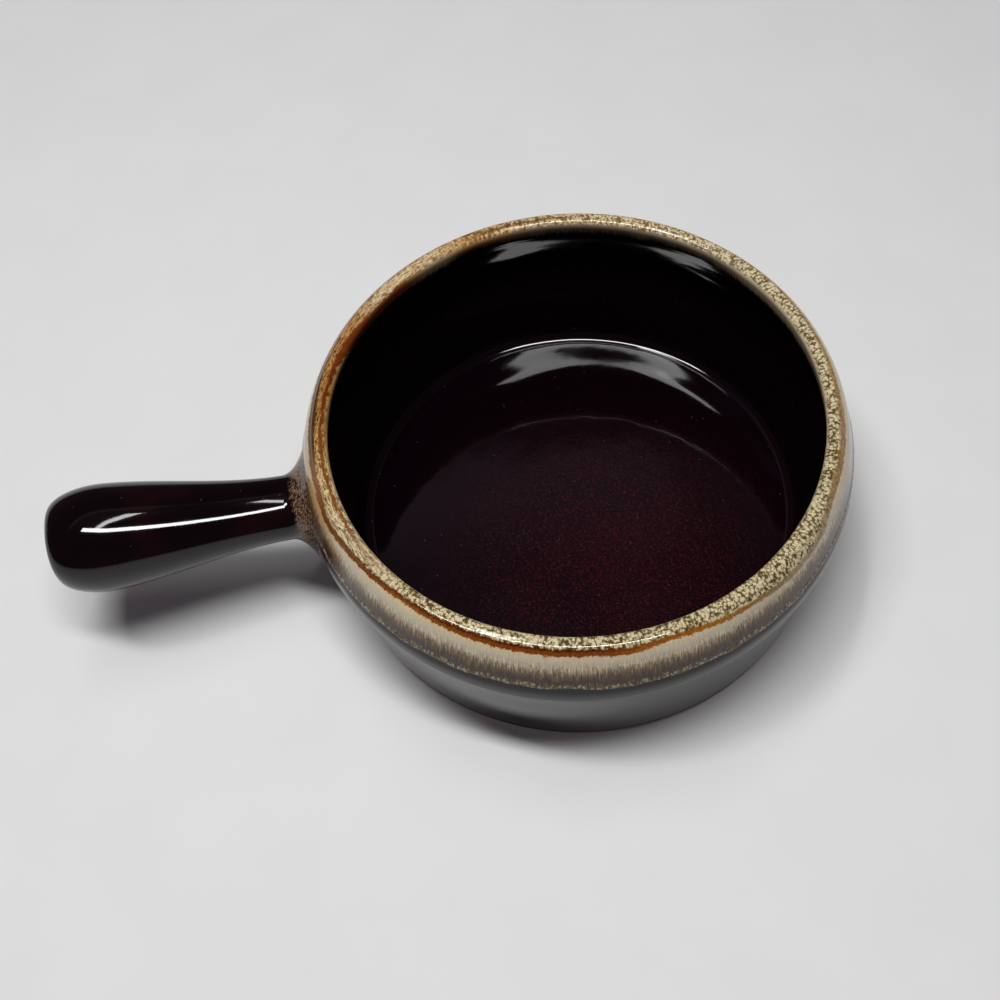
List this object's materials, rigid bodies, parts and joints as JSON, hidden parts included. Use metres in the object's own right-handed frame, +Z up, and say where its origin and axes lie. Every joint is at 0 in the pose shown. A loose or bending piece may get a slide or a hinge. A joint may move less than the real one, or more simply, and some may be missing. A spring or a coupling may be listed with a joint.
{
  "type": "stick-handled soup bowl",
  "caption": "Round stoneware soup bowl with a swelling belly, a flat floor, a bare foot ring and one stick handle, glazed brown under a cream drip rim.",
  "frame": {"origin": "on the bowl's axis, in the plane of the foot ring's resting face", "axes": "+Z up along the bowl's axis, -X along the handle, the XZ plane is the plane of symmetry"},
  "size_m": [0.3065, 0.2124, 0.0785],
  "materials": {
    "stoneware_clay": "fired buff stoneware, matt",
    "bare_foot": "bare buff stoneware, ground flat and fine-grained",
    "brown_liner": "glossy maroon-black glaze with fine specks",
    "brown_gloss": "glossy dark brown glaze",
    "cream_drip": "glossy cream and tan drip glaze, mottled on the rim and streaked below it",
    "mottled_drip": "glossy mottled tan and purple-brown glaze that fades into the dark handle"
  },
  "bodies": {
    "root": {"bowl_body": "stoneware_clay", "foot_ring": "bare_foot", "handle": "stoneware_clay", "handle_collar": "stoneware_clay", "liner_glaze": "brown_liner", "outer_glaze": "brown_gloss", "base_glaze": "brown_gloss", "rim_drip_glaze": "cream_drip", "handle_glaze": "brown_gloss", "collar_drip_glaze": "mottled_drip"}
  },
  "joints": []
}
